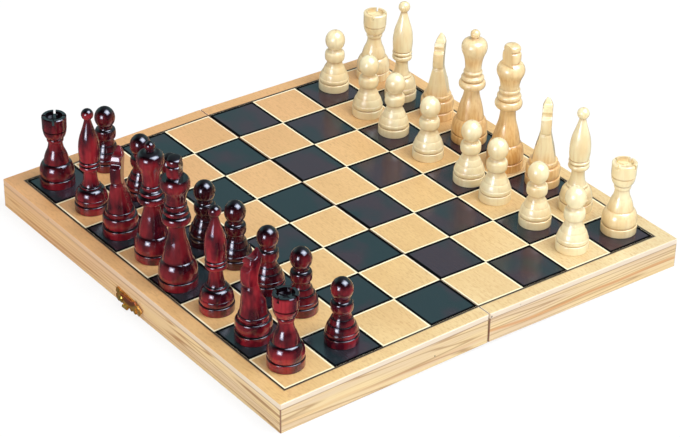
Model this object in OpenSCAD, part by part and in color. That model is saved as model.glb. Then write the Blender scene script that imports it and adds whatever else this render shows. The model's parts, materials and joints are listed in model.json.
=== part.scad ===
// Folding chess box: two shallow trays, hinged at their rims, whose backs make the chessboard,
// with thirty-two turned chessmen standing on it.
// Millimetres. X runs across the fold, Y along it and Z up. The origin lies on the table under
// the middle of the fold. A half is drawn at +X, with the hinge axis as its own origin, and
// on_half() puts it in place: -1 is the red player's half, +1 the white player's.

/* [Board] */
// Side of one square of the playing field
square = 35; // [32:0.5:45]
// Width of the plain border round the field
border = 11; // [9:0.5:18]
// Height of a half, from the hinge axis to the playing surface
half_h = 20; // [19:0.5:30]
// Thickness of the plywood playing panel
panel_t = 3.6; // [3:0.2:5]
// Thickness of the pine walls
wall_t = 8; // [7.6:0.2:10]
// Depth of the dark veneer let into the panel
inlay_t = 0.6; // [0.4:0.1:1]
// Width of the dark line round the field
line_w = 0.9; // [0.5:0.1:2]
// How much is taken off the outside edges of the panels and the upright corners
edge_ease = 0.5; // [0.2:0.1:1]

/* [Hinges] */
// Radius of the hinge knuckles, on which the open board rests at the fold
knuckle_r = 2.1; // [1.8:0.1:2.4]
// Length of a hinge along the fold
hinge_len = 32; // [26:1:44]
// Distance of each hinge from the middle of the fold
hinge_y = 82; // [50:1:110]
// Radius of the hinge pin
pin_r = 0.9; // [0.7:0.05:1]
// Thickness of the hinge leaves
leaf_t = 1; // [0.8:0.1:1.3]

/* [Hook latch] */
// Distance from the hook's pivot to the stud that it catches
hook_reach = 17; // [15:0.5:19]
// Height of the pivot above the hinge axis
hook_z = 5.4; // [5:0.1:6.5]
// Place of the pivot along the wall
hook_y = 10; // [-60:1:60]
// Thickness of the stamped brass plates
brass_t = 0.9; // [0.6:0.1:1.2]
// Thickness of the hook's arm
arm_t = 1; // [0.8:0.1:1.4]
// Radius of the rivet on which the hook turns
rivet_r = 1.2; // [1:0.1:1.5]
// Radius of the stud's neck
stud_r = 1.3; // [1:0.1:1.5]

/* [Chessmen] */
// Height of a pawn
pawn_h = 43.2; // [38:0.1:52]
// Diameter of a pawn's base
pawn_d = 20.6; // [18:0.2:24]
// Height of a rook
rook_h = 48.5; // [42:0.5:56]
// Diameter of a rook's base
rook_d = 22.6; // [20:0.2:26]
// Height of a knight
knight_h = 60; // [54:0.5:68]
// Diameter of a knight's base
knight_d = 22.6; // [20:0.2:26]
// Height of a bishop
bishop_h = 71; // [64:0.5:80]
// Diameter of a bishop's base
bishop_d = 21.6; // [19:0.2:25]
// Height of a queen
queen_h = 80; // [71:0.5:89]
// Diameter of a queen's base
queen_d = 23.8; // [21:0.2:27]
// Height of a king
king_h = 87.5; // [79:0.5:99]
// Diameter of a king's base
king_d = 24.4; // [22:0.2:28]
// Height of the foot disc under every chessman
foot_h = 5.6; // [4:0.2:7]
// Width of the saw cuts in a rook's crown
slot_w = 1.5; // [1:0.1:2.5]
// Depth of the hollow in a rook's crown
crown_depth = 2.6; // [1.5:0.1:3.5]

/* [Clearances] */
// Half of the gap between the two halves where they meet
meet_gap = 0.15; // [0.1:0.05:0.3]
// Air round the hinge barrels
barrel_gap = 0.3; // [0.25:0.05:0.5]
// Radial running clearance of a hinge pin and of the hook's rivet
running_fit = 0.05; // [0.03:0.01:0.08]
// Radial clearance of nails and screws in the holes made for them
nail_fit = 0.03; // [0.02:0.01:0.05]
// Air between the hook's arm and what it passes
arm_gap = 0.3; // [0.2:0.05:0.5]
// Width of the light joint left between neighbouring inlays
joint_w = 0.1; // [0.06:0.02:0.2]

/* [Hidden] */
$fn = 64;
FILES = 8;                                    // squares along the fold
RANKS = 4;                                    // squares across one half
field_x = RANKS * square;                     // the field reaches this far from the fold
field_y = FILES / 2 * square;
half_x = field_x + border;
half_y = field_y + border;
panel_z = half_h - panel_t;                   // underside of the panel
inlay_z = half_h - inlay_t;

// The open board stands on its knuckles and on its two outer rims, so each half leans by this.
lean = asin(knuckle_r / norm([half_x, meet_gap])) + atan2(meet_gap, half_x);

KNUCKLES = 5;
knuckle_len = hinge_len / KNUCKLES;
knuckle_gap = 0.2;                            // between neighbouring knuckles
barrel_space = knuckle_r + barrel_gap;        // radius kept free round a barrel
leaf_w = meet_gap + wall_t - 1;               // from the axis to the leaf's far edge
screw_x = (barrel_space + leaf_w) / 2;
screw_r = 0.8;
screw_head_r = 1.7;
screw_len = 7;
screw_spread = hinge_len * 0.3;               // each screw's distance from the hinge's middle
hinge_places = [-hinge_y, hinge_y];

nail_r = 0.55;
nail_len = 5;
nail_head_r = 1.1;
nail_head_h = 0.25;                           // low enough for the arm to pass over it
lobe_r = 2.7;                                 // rounded ends of the stamped plates
pivot_pad_r = 4.1;
plate_nails = [[4.9, 2.1], [4.9, -2.1]];      // from the pivot
keeper_pad_r = 3.3;
keeper_nails_at = [[-5.2, 0], [5.2, 0]];      // from the stud
keeper_z = hook_reach - hook_z;               // the stud's height on the other half
guard_len = 13.5;                             // tongue of the hook's plate, from the pivot
guard_top = 3.6;
guard_drop = 3.4;
guard_lobe_r = 1.7;
guard_lobes = [-4.6, -9, -13];                // scallops along the tongue's lower edge
arm_w = 3.2;                                  // the arm reaches half of this under the pivot
arm_rise = 1.8;                               // and so much more than half of it over the pivot
arm_eye_r = 2.9;
arm_hook_r = 3.5;
arm_knob = [2.8, 3.2];                        // rounded knob on the arm's upper edge, from the stud
arm_knob_r = 1.6;
arm_tip = [-3.1, 0.9];                        // rounded knob at its tip
arm_tip_r = 1.5;
tab_len = 4.4;                                // curled thumb tab under the arm
tab_w = 2.4;
tab_drop = 1.8;
tab_bead_r = 1.2;
rivet_head_r = rivet_r + 0.9;
stud_head_r = stud_r + 1;
arm_bottom = brass_t + arm_gap;               // outward distances from the wall's face
arm_top = arm_bottom + arm_t;
head_bottom = arm_top + arm_gap;

MEN_RED = -1;
MEN_WHITE = 1;
// How far each pawn stands from the middle of its square, from the nearest file to the farthest.
RED_PAWNS = [
    [-1.9, 1.7], [-1.9, 6.2], [0.4, 1.5], [-0.3, 0.9], [1.2, -3.8], [0.5, 0], [2.2, -4.5], [1.3, 3.2],
];
WHITE_PAWNS = [
    [1.8, 0.6], [2.4, 1.1], [1.1, 3.1], [1.9, -5], [0, -0.4], [1.1, 2.2], [2.2, -3], [5.7, 4.1],
];
// Each chessman: name, kind, half, square counted out from the fold, file, [shift across, shift
// along] from the square's middle, and its turn on its own axis.
MEN = [
    ["red_rook_near", "rook", MEN_RED, 3, 0, [2.5, 2], 69],
    ["red_knight_near", "knight", MEN_RED, 3, 1, [1.8, -0.2], 170],
    ["red_bishop_near", "bishop", MEN_RED, 3, 2, [2.3, 1.5], 0],
    ["red_king", "king", MEN_RED, 3, 3, [5.3, 2.7], 50],
    ["red_queen", "queen", MEN_RED, 3, 4, [0.6, 1.3], 0],
    ["red_knight_far", "knight", MEN_RED, 3, 5, [2, 1.1], 138],
    ["red_bishop_far", "bishop", MEN_RED, 3, 6, [1.5, 0.1], 0],
    ["red_rook_far", "rook", MEN_RED, 3, 7, [2.3, 4.7], 35],
    for (file = [0:FILES - 1])
        [str("red_pawn_", file + 1), "pawn", MEN_RED, 2, file, RED_PAWNS[file], 0],
    ["white_rook_near", "rook", MEN_WHITE, 3, 0, [5, 0.2], 15],
    ["white_bishop_near", "bishop", MEN_WHITE, 3, 1, [1, 1.1], 0],
    ["white_knight_near", "knight", MEN_WHITE, 3, 2, [4.6, 2], 46],
    ["white_king", "king", MEN_WHITE, 3, 3, [-1.4, -2.6], 0],
    ["white_queen", "queen", MEN_WHITE, 3, 4, [1.6, 2.1], 0],
    ["white_knight_far", "knight", MEN_WHITE, 3, 5, [4.5, 4.6], 41],
    ["white_bishop_far", "bishop", MEN_WHITE, 3, 6, [0.4, 3.7], 0],
    ["white_rook_far", "rook", MEN_WHITE, 3, 7, [3.2, 2.8], 40],
    for (file = [0:FILES - 1])
        [str("white_pawn_", file + 1), "pawn", MEN_WHITE, 2, file, WHITE_PAWNS[file], 0],
];

BOX_NODES = [
    "red_panel", "red_dark_squares", "red_field_line",
    "red_outer_wall", "red_inner_wall", "red_near_wall", "red_far_wall",
    "white_panel", "white_dark_squares", "white_field_line",
    "white_outer_wall", "white_inner_wall", "white_near_wall", "white_far_wall",
    "red_hinge_leaf_near", "red_hinge_leaf_far",
    "white_hinge_leaf_near", "white_hinge_leaf_far",
    "hinge_pins", "red_hinge_screws", "white_hinge_screws",
    "hook_plate", "hook_plate_nails", "hook_rivet", "hook_arm",
    "keeper_plate", "keeper_nails", "keeper_stud",
];

// ---- placing ----

// Puts a half's part, drawn at +X from the hinge axis, into the open board.
module on_half(side) {
    translate([0, 0, knuckle_r])
        rotate([0, side * lean, 0])
            mirror([side < 0 ? 1 : 0, 0, 0])
                children();
}

// A flat outline in Y and Z, thickened outward from the outer wall's face.
module on_outer_face(y, z, out = 0) {
    translate([half_x + out, y, z])
        rotate([90, 0, 90])
            children();
}

module along_y(y = 0) {
    translate([0, y, 0])
        rotate([-90, 0, 0])
            children();
}

// ---- the two boxes ----

function dark(side, rank, file) = (rank + file + (side < 0 ? 1 : 0)) % 2 == 1;

// Each dark square of one half, as tall as asked, standing on z.
module dark_squares(side, z, h) {
    for (rank = [0:RANKS - 1])
        for (file = [0:FILES - 1])
            if (dark(side, rank, file)) {
                x0 = max(rank * square + joint_w / 2, meet_gap);
                x1 = (rank + 1) * square - joint_w / 2;
                translate([x0, file * square - field_y + joint_w / 2, z])
                    cube([x1 - x0, square - joint_w, h]);
            }
}

// The dark line round three sides of the half's field.
module field_line(z, h) {
    inner = [field_x + joint_w, 2 * (field_y + joint_w)];
    translate([meet_gap, 0, z])
        linear_extrude(h)
            difference() {
                translate([0, -inner.y / 2 - line_w])
                    square([inner.x + line_w - meet_gap, inner.y + 2 * line_w]);
                translate([-1, -inner.y / 2])
                    square([inner.x + 1 - meet_gap, inner.y]);
            }
}

// A bar lying along X, half of it inside a square edge there, that cuts the edge off at 45 degrees.
module edge_cutter(length) {
    rotate([45, 0, 0])
        cube([length, edge_ease * sqrt(2), edge_ease * sqrt(2)], center = true);
}

module panel(side) {
    over = 1;                                 // how far a cutter stands proud
    e = edge_ease;
    difference() {
        translate([0, 0, panel_z])
            linear_extrude(panel_t)
                polygon([[meet_gap, half_y - e], [meet_gap, e - half_y], [meet_gap + e, -half_y],
                    [half_x - e, -half_y], [half_x, e - half_y], [half_x, half_y - e],
                    [half_x - e, half_y], [meet_gap + e, half_y]]);
        dark_squares(side, inlay_z, inlay_t + over);
        field_line(inlay_z, inlay_t + over);
        translate([half_x, 0, half_h])
            rotate(90)
                edge_cutter(2 * half_y + over);
        for (end = [-1, 1])
            translate([half_x / 2, end * half_y, half_h])
                edge_cutter(half_x + over);
    }
}

// A wall whose ends are mitred. At each end a small flat takes off half of the upright corner.
module mitred_wall(points) {
    translate([0, 0, meet_gap])
        linear_extrude(panel_z - meet_gap)
            polygon(points);
}

module outer_wall(holes) {
    e = edge_ease;
    difference() {
        mitred_wall([[half_x - e / 2, e / 2 - half_y], [half_x, e - half_y],
            [half_x, half_y - e], [half_x - e / 2, half_y - e / 2],
            [half_x - wall_t, half_y - wall_t], [half_x - wall_t, wall_t - half_y]]);
        for (hole = holes)
            on_outer_face(hole.x, hole.y, 1 - hole[3])
                cylinder(r = hole[2], h = hole[3]);
    }
}

module inner_wall() {
    inside = meet_gap + wall_t;
    e = edge_ease;
    difference() {
        mitred_wall([[meet_gap + e / 2, e / 2 - half_y], [meet_gap, e - half_y],
            [meet_gap, half_y - e], [meet_gap + e / 2, half_y - e / 2],
            [inside, half_y - wall_t], [inside, wall_t - half_y]]);
        for (y = hinge_places)
            translate([0, y, 0]) {
                along_y(-hinge_len / 2 - knuckle_gap)
                    cylinder(r = barrel_space, h = hinge_len + 2 * knuckle_gap);
                translate([0, -hinge_len / 2, 0])
                    cube([leaf_w, hinge_len, meet_gap + leaf_t]);
                for (screw = [-screw_spread, screw_spread])
                    translate([screw_x, screw, 0])
                        cylinder(r = screw_r + nail_fit, h = meet_gap + screw_len + 1);
            }
    }
}

// The short wall at one end of a half: end is -1 for the near one and +1 for the far one.
module end_wall(end) {
    e = edge_ease;
    mitred_wall([[meet_gap + e / 2, end * (half_y - e / 2)], [meet_gap + e, end * half_y],
        [half_x - e, end * half_y], [half_x - e / 2, end * (half_y - e / 2)],
        [half_x - wall_t, end * (half_y - wall_t)], [meet_gap + wall_t, end * (half_y - wall_t)]]);
}

// ---- butt hinges ----

// One leaf with its own knuckles: the first knuckle is number 0 or 1, and every other one follows.
module hinge_leaf(y, first) {
    translate([0, y, 0])
        difference() {
            union() {
                translate([barrel_space, -hinge_len / 2, meet_gap])
                    cube([leaf_w - barrel_space, hinge_len, leaf_t]);
                for (k = [first:2:KNUCKLES - 1]) {
                    y0 = -hinge_len / 2 + k * knuckle_len + knuckle_gap / 2;
                    along_y(y0)
                        cylinder(r = knuckle_r, h = knuckle_len - knuckle_gap);
                    translate([0, y0, meet_gap])
                        cube([barrel_space + 1, knuckle_len - knuckle_gap, leaf_t]);
                }
            }
            along_y(-hinge_len / 2 - 1)
                cylinder(r = pin_r + running_fit, h = hinge_len + 2);
            for (screw = [-screw_spread, screw_spread])
                translate([screw_x, screw, 0]) {
                    cylinder(r = screw_r + nail_fit, h = 2 * leaf_t);
                    countersink(nail_fit);
                }
        }
}

// The cone of a countersunk head, wider by grow for the seat that it lies in.
module countersink(grow = 0) {
    head_h = leaf_t * 0.9;
    translate([0, 0, meet_gap])
        cylinder(r1 = screw_head_r + grow, r2 = screw_r + grow, h = head_h);
}

module hinge_pins_brass() {
    for (y = hinge_places)
        along_y(y - hinge_len / 2)
            cylinder(r = pin_r, h = hinge_len);
}

module hinge_screws() {
    driver_w = 0.5;
    driver_depth = 0.35;
    for (y = hinge_places)
        for (screw = [-screw_spread, screw_spread])
            translate([screw_x, y + screw, 0])
                difference() {
                    union() {
                        countersink();
                        translate([0, 0, meet_gap])
                            cylinder(r = screw_r, h = screw_len);
                    }
                    translate([-screw_head_r - 1, -driver_w / 2, meet_gap - 1])
                        cube([2 * screw_head_r + 2, driver_w, 1 + driver_depth]);
                }
}

// ---- hook latch ----

// A domed head of radius r and height h with a shank below it, turned about its own axis.
module domed_nail(r, h, shank_r, shank_len, steps = 6) {
    dome = [for (i = [0:steps]) let (a = 90 * i / steps) [r * cos(a), h * sin(a)]];
    rotate_extrude()
        polygon(concat([[0, -shank_len], [shank_r, -shank_len], [shank_r, 0]], dome));
}

// Children are flat outlines that the plate has besides its pad and its nail lobes.
module stamped_plate(pad_r, nails, hole_r) {
    linear_extrude(brass_t)
        difference() {
            union() {
                circle(pad_r);
                for (nail = nails)
                    translate(nail)
                        circle(lobe_r);
                children();
            }
            circle(hole_r);
            for (nail = nails)
                translate(nail)
                    circle(nail_r + nail_fit);
        }
}

module plate_nails_brass(nails) {
    for (nail = nails)
        translate([nail.x, nail.y, brass_t])
            domed_nail(nail_head_r, nail_head_h, nail_r, brass_t + nail_len);
}

// The rivet or the stud: a neck that stands on the wall and a wider head over the arm.
module headed_post(r, head_r) {
    translate([0, 0, head_bottom])
        domed_nail(head_r, 1, r, head_bottom + nail_len);
}

// The tongue of the hook's plate keeps the arm off the wood. Its lower edge is scalloped.
module guard() {
    translate([-guard_len, -guard_drop])
        square([guard_len, guard_drop + guard_top]);
    for (x = guard_lobes)
        translate([x, -guard_drop])
            circle(guard_lobe_r);
}

// The arm lies along -Y from its pivot at rest, and its mouth opens downward.
module arm() {
    mouth_r = stud_r + 1.3 * arm_gap;
    difference() {
        union() {
            linear_extrude(arm_t)
                difference() {
                    union() {
                        circle(arm_eye_r);
                        translate([-hook_reach, -arm_w / 2])
                            square([hook_reach, arm_w + arm_rise]);
                        translate([-hook_reach, 0])
                            circle(arm_hook_r);
                        translate([-hook_reach, 0])
                            translate(arm_tip)
                                circle(arm_tip_r);
                        translate([-hook_reach, 0])
                            translate(arm_knob)
                                circle(arm_knob_r);
                        translate([-tab_len - arm_eye_r, -arm_w / 2 - tab_drop])
                            square([tab_len, tab_w]);
                    }
                    translate([-hook_reach, 0])
                        circle(mouth_r);
                    translate([-hook_reach - mouth_r, -2 * arm_hook_r])
                        square([2 * mouth_r, 2 * arm_hook_r]);
                }
            translate([-tab_len - arm_eye_r, -arm_w / 2 - tab_drop, tab_bead_r + 0.1])
                rotate([0, 90, 0])
                    cylinder(r = tab_bead_r, h = tab_len);
        }
        translate([0, 0, -1])
            cylinder(r = rivet_r + running_fit, h = arm_t + 2);
    }
}

// ---- turned chessmen: outlines are [radius, height] from the foot up ----

// A bead that bulges to radius r between two heights and is r - swell at both.
function bead(r, swell, z0, z1, steps = 6) =
    [for (i = [0:steps]) let (a = 180 * i / steps - 90)
        [r - swell + swell * cos(a), (z0 + z1) / 2 + (z1 - z0) / 2 * sin(a)]];

// A smooth sweep from one point to the next, bent towards a third.
function sweep(from, bend, to, steps = 6) =
    [for (i = [0:steps]) let (t = i / steps)
        (1 - t) * (1 - t) * from + 2 * t * (1 - t) * bend + t * t * to];

// The upper part of a ball of radius r whose top is at z, from the neck of radius neck_r. A ball
// can be taller than it is wide.
function ball(r, z, neck_r, tall = 1, steps = 12) =
    let (low = -acos(neck_r / r))
    [for (i = [0:steps]) let (a = low + (90 - low) * i / steps)
        [r * cos(a), z + r * tall * (sin(a) - 1)]];

// The foot disc with softened edges, the groove over it, and the axis point that closes it.
function foot(r) =
    concat([[0, 0], [r - 0.5, 0]], sweep([r - 0.5, 0], [r, 0], [r, 0.6], 3),
        sweep([r, foot_h - 0.7], [r, foot_h - 0.1], [r - 0.6, foot_h], 3),
        [[r - 0.9, foot_h], [r - 0.9, foot_h + 0.5]]);

// The belly over the foot of a rook, queen or king: round below, and drawn in to top_r above.
function belly(r, top_r, top_z) =
    let (low = foot_h + 2.8, high = foot_h + (top_z - foot_h) * 0.75)
    concat(sweep([r - 0.7, foot_h + 0.5], [r * 0.985, foot_h + 0.8], [r * 0.985, low], 3),
        sweep([r * 0.985, low], [r * 0.98, high], [top_r, top_z]));

// A point of an outline: a share of the base radius, and a share of the height over the foot.
function at(r, h, share_r, share_h) = [r * share_r, foot_h + (h - foot_h) * share_h];

module turned(outline) {
    rotate_extrude()
        polygon(outline);
}

module pawn() {
    r = pawn_d / 2;
    h = pawn_h;
    turned(concat(
        foot(r),
        bead(r * 0.975, 0.4, foot_h + 0.5, at(r, h, 0, 0.085).y),
        sweep(at(r, h, 0.93, 0.09), at(r, h, 0.88, 0.16), at(r, h, 0.78, 0.2), 3),
        sweep(at(r, h, 0.755, 0.2), at(r, h, 0.68, 0.27), at(r, h, 0.6, 0.305), 3),
        sweep(at(r, h, 0.575, 0.305), at(r, h, 0.5, 0.35), at(r, h, 0.49, 0.405)),
        bead(r * 0.66, r * 0.12, at(r, h, 0, 0.415).y, at(r, h, 0, 0.575).y, 8),
        sweep(at(r, h, 0.5, 0.585), at(r, h, 0.44, 0.63), at(r, h, 0.47, 0.665), 3),
        ball(r * 0.645, h, r * 0.48, 1.12)));
}

module rook() {
    r = rook_d / 2;
    h = rook_h;
    rim_r = r * 0.7;
    difference() {
        turned(concat(
            foot(r),
            belly(r, r * 0.77, at(r, h, 0, 0.235).y),
            sweep(at(r, h, 0.72, 0.24), at(r, h, 0.68, 0.345), at(r, h, 0.49, 0.44)),
            sweep(at(r, h, 0.49, 0.44), at(r, h, 0.41, 0.5), at(r, h, 0.4, 0.575)),
            bead(r * 0.475, 0.5, at(r, h, 0, 0.58).y, at(r, h, 0, 0.635).y, 4),
            sweep(at(r, h, 0.45, 0.64), at(r, h, 0.62, 0.66), at(r, h, 0.67, 0.77)),
            [at(r, h, 0.63, 0.775), at(r, h, 0.63, 0.79)],
            sweep(at(r, h, 0.685, 0.795), at(r, h, 0.69, 0.9), [rim_r, h - 0.6], 4),
            [[rim_r - 0.5, h], [rim_r * 0.7, h], [rim_r * 0.66, h - crown_depth], [0, h - crown_depth]]));
        for (turn = [0, 90])
            rotate(turn)
                translate([-r, -slot_w / 2, h - crown_depth - 0.5])
                    cube([2 * r, slot_w, h]);
    }
}

module bishop() {
    r = bishop_d / 2;
    h = bishop_h;
    turned(concat(
        foot(r),
        bead(r * 0.965, 0.5, foot_h + 0.5, at(r, h, 0, 0.06).y, 4),
        sweep(at(r, h, 0.93, 0.06), at(r, h, 0.88, 0.14), at(r, h, 0.63, 0.158)),
        bead(r * 0.62, 0.5, at(r, h, 0, 0.16).y, at(r, h, 0, 0.18).y, 4),
        sweep(at(r, h, 0.52, 0.185), at(r, h, 0.38, 0.24), at(r, h, 0.385, 0.345)),
        bead(r * 0.62, r * 0.12, at(r, h, 0, 0.355).y, at(r, h, 0, 0.41).y),
        bead(r * 0.615, r * 0.08, at(r, h, 0, 0.415).y, at(r, h, 0, 0.45).y, 4),
        [at(r, h, 0.54, 0.455)],
        sweep(at(r, h, 0.58, 0.46), at(r, h, 0.7, 0.61), at(r, h, 0.47, 0.73)),
        sweep(at(r, h, 0.47, 0.73), at(r, h, 0.3, 0.81), at(r, h, 0.2, 0.88)),
        ball(r * 0.355, h, r * 0.19)));
}

module queen() {
    r = queen_d / 2;
    h = queen_h;
    turned(concat(
        foot(r),
        belly(r, r * 0.8, at(r, h, 0, 0.147).y),
        sweep(at(r, h, 0.76, 0.152), at(r, h, 0.68, 0.25), at(r, h, 0.52, 0.33)),
        sweep(at(r, h, 0.52, 0.33), at(r, h, 0.42, 0.38), at(r, h, 0.41, 0.44), 4),
        bead(r * 0.74, r * 0.16, at(r, h, 0, 0.445).y, at(r, h, 0, 0.515).y),
        bead(r * 0.63, r * 0.1, at(r, h, 0, 0.52).y, at(r, h, 0, 0.56).y, 4),
        [at(r, h, 0.47, 0.568)],
        bead(r * 0.52, r * 0.05, at(r, h, 0, 0.585).y, at(r, h, 0, 0.61).y, 4),
        sweep(at(r, h, 0.45, 0.615), at(r, h, 0.44, 0.72), at(r, h, 0.66, 0.79)),
        sweep(at(r, h, 0.66, 0.79), at(r, h, 0.74, 0.83), at(r, h, 0.7, 0.86), 4),
        sweep(at(r, h, 0.7, 0.86), at(r, h, 0.62, 0.905), at(r, h, 0.36, 0.91), 4),
        [at(r, h, 0.24, 0.915)],
        ball(r * 0.265, h, r * 0.19)));
}

module king() {
    r = king_d / 2;
    h = king_h;
    flat_x = r * 0.3;
    difference() {
        turned(concat(
            foot(r),
            belly(r, r * 0.8, at(r, h, 0, 0.144).y),
            sweep(at(r, h, 0.76, 0.149), at(r, h, 0.67, 0.24), at(r, h, 0.5, 0.315)),
            sweep(at(r, h, 0.5, 0.315), at(r, h, 0.41, 0.365), at(r, h, 0.405, 0.448), 4),
            bead(r * 0.73, r * 0.16, at(r, h, 0, 0.454).y, at(r, h, 0, 0.526).y),
            bead(r * 0.64, r * 0.1, at(r, h, 0, 0.531).y, at(r, h, 0, 0.572).y, 4),
            [at(r, h, 0.5, 0.581)],
            bead(r * 0.56, r * 0.05, at(r, h, 0, 0.596).y, at(r, h, 0, 0.62).y, 4),
            sweep(at(r, h, 0.5, 0.626), at(r, h, 0.5, 0.685), at(r, h, 0.69, 0.74)),
            sweep(at(r, h, 0.69, 0.74), at(r, h, 0.79, 0.772), at(r, h, 0.71, 0.806), 4),
            sweep(at(r, h, 0.71, 0.806), at(r, h, 0.62, 0.838), at(r, h, 0.44, 0.848), 4),
            bead(r * 0.5, r * 0.05, at(r, h, 0, 0.855).y, at(r, h, 0, 0.935).y, 4),
            [at(r, h, 0.4, 0.94), at(r, h, 0.4, 0.948)],
            sweep(at(r, h, 0.44, 0.953), at(r, h, 0.46, 0.985), at(r, h, 0.3, 0.993)),
            sweep(at(r, h, 0.3, 0.993), at(r, h, 0.15, 1), [0, h], 4)));
        for (side = [0, 180])
            rotate(side)
                translate([flat_x, -r, at(r, h, 0, 0.826).y])
                    cube([r, 2 * r, h]);
    }
}

// The knight's head is a turned blank cut to a side outline and tapered between two flat cheeks.
module knight() {
    r = knight_d / 2;
    h = knight_h;
    base_top = at(r, h, 0, 0.215).y;
    turned(concat(
        foot(r),
        bead(r * 0.985, 0.9, foot_h + 0.5, at(r, h, 0, 0.15).y),
        bead(r * 0.82, 0.6, at(r, h, 0, 0.155).y, base_top, 4),
        [[0, base_top]]));
    intersection() {
        turned(concat([[0, base_top]],
            sweep([r * 0.76, base_top], [r * 0.64, h * 0.38], [r * 0.61, h * 0.6]),
            [[r * 0.54, h * 0.615], [r * 0.54, h * 0.63]],
            sweep([r * 0.65, h * 0.64], [r * 0.74, h * 0.71], [r * 0.66, h * 0.8]),
            [[r * 0.66, h], [0, h]]));
        rotate([90, 0, 0])
            linear_extrude(2 * r, center = true)
                polygon(horse_outline(r, h));
        rotate([90, 0, 90])
            linear_extrude(2 * r, center = true)
                polygon([[-r * 0.68, base_top], [r * 0.68, base_top], [r * 0.31, h * 0.62],
                    [r * 0.285, h * 0.905], [r * 0.05, h], [-r * 0.05, h],
                    [-r * 0.285, h * 0.905], [-r * 0.31, h * 0.62]]);
    }
}

// Side outline of the head, nose towards -X: front, nose, brow, forelock, ear, crest and back.
function horse_outline(r, h) =
    [for (p = [[-0.8, 0.2], [-0.8, 0.79], [-0.64, 0.81], [-0.42, 0.83], [-0.39, 0.86], [-0.47, 0.878],
        [-0.36, 0.93], [-0.12, 0.91], [0.1, 0.925], [0.34, 1], [0.44, 0.94], [0.38, 0.85],
        [0.16, 0.76], [0.08, 0.69], [0.12, 0.6], [0.3, 0.48], [0.55, 0.42], [0.8, 0.38],
        [0.8, 0.2]]) [p.x * r, p.y * h]];

module chessman(kind) {
    if (kind == "pawn") pawn();
    if (kind == "rook") rook();
    if (kind == "knight") knight();
    if (kind == "bishop") bishop();
    if (kind == "queen") queen();
    if (kind == "king") king();
}

module standing_man(man) {
    middle = [(man[3] + 0.5) * square, (man[4] + 0.5) * square - field_y];
    color(man[2] < 0 ? "darkred" : "wheat")
        on_half(man[2])
            translate([middle.x + man[5].x, middle.y + man[5].y, half_h])
                rotate(man[6])
                    chessman(man[1]);
}

// ---- one module for each piece of the box ----

// A hole in the outer wall: where it is along and up the wall, its radius and its depth.
function nail_holes(y, z, nails) =
    [for (nail = nails) [y + nail.x, z + nail.y, nail_r + nail_fit, nail_len + 1]];
function post_hole(y, z, r) = [[y, z, r + nail_fit, nail_len + 1]];

module red_panel() { color("burlywood") on_half(-1) panel(-1); }
module white_panel() { color("burlywood") on_half(1) panel(1); }
module red_dark_squares() { color([0.12, 0.16, 0.17]) on_half(-1) dark_squares(-1, inlay_z, inlay_t); }
module white_dark_squares() { color([0.12, 0.16, 0.17]) on_half(1) dark_squares(1, inlay_z, inlay_t); }
module red_field_line() { color("black") on_half(-1) field_line(inlay_z, inlay_t); }
module white_field_line() { color("black") on_half(1) field_line(inlay_z, inlay_t); }
module red_outer_wall() {
    color("moccasin")
        on_half(-1)
            outer_wall(concat(nail_holes(hook_y, hook_z, plate_nails), post_hole(hook_y, hook_z, rivet_r)));
}
module white_outer_wall() {
    color("moccasin")
        on_half(1)
            outer_wall(concat(nail_holes(hook_y, keeper_z, keeper_nails_at),
                post_hole(hook_y, keeper_z, stud_r)));
}
module red_inner_wall() { color("moccasin") on_half(-1) inner_wall(); }
module white_inner_wall() { color("moccasin") on_half(1) inner_wall(); }
module red_near_wall() { color("moccasin") on_half(-1) end_wall(-1); }
module white_near_wall() { color("moccasin") on_half(1) end_wall(-1); }
module red_far_wall() { color("moccasin") on_half(-1) end_wall(1); }
module white_far_wall() { color("moccasin") on_half(1) end_wall(1); }
module red_hinge_leaf_near() { color("gold") on_half(-1) hinge_leaf(-hinge_y, 0); }
module red_hinge_leaf_far() { color("gold") on_half(-1) hinge_leaf(hinge_y, 0); }
module white_hinge_leaf_near() { color("gold") on_half(1) hinge_leaf(-hinge_y, 1); }
module white_hinge_leaf_far() { color("gold") on_half(1) hinge_leaf(hinge_y, 1); }
module hinge_pins() { color("goldenrod") on_half(-1) hinge_pins_brass(); }
module red_hinge_screws() { color("goldenrod") on_half(-1) hinge_screws(); }
module white_hinge_screws() { color("goldenrod") on_half(1) hinge_screws(); }
module hook_plate() {
    color("gold")
        on_half(-1)
            on_outer_face(hook_y, hook_z)
                stamped_plate(pivot_pad_r, plate_nails, rivet_r + nail_fit)
                    guard();
}
module hook_plate_nails() {
    color("goldenrod")
        on_half(-1)
            on_outer_face(hook_y, hook_z)
                plate_nails_brass(plate_nails);
}
module hook_rivet() {
    color("goldenrod")
        on_half(-1)
            on_outer_face(hook_y, hook_z)
                headed_post(rivet_r, rivet_head_r);
}
module hook_arm() {
    color("gold")
        on_half(-1)
            on_outer_face(hook_y, hook_z, arm_bottom)
                arm();
}
module keeper_plate() {
    color("gold")
        on_half(1)
            on_outer_face(hook_y, keeper_z)
                stamped_plate(keeper_pad_r, keeper_nails_at, stud_r + nail_fit);
}
module keeper_nails() {
    color("goldenrod")
        on_half(1)
            on_outer_face(hook_y, keeper_z)
                plate_nails_brass(keeper_nails_at);
}
module keeper_stud() {
    color("goldenrod")
        on_half(1)
            on_outer_face(hook_y, keeper_z)
                headed_post(stud_r, stud_head_r);
}

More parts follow.
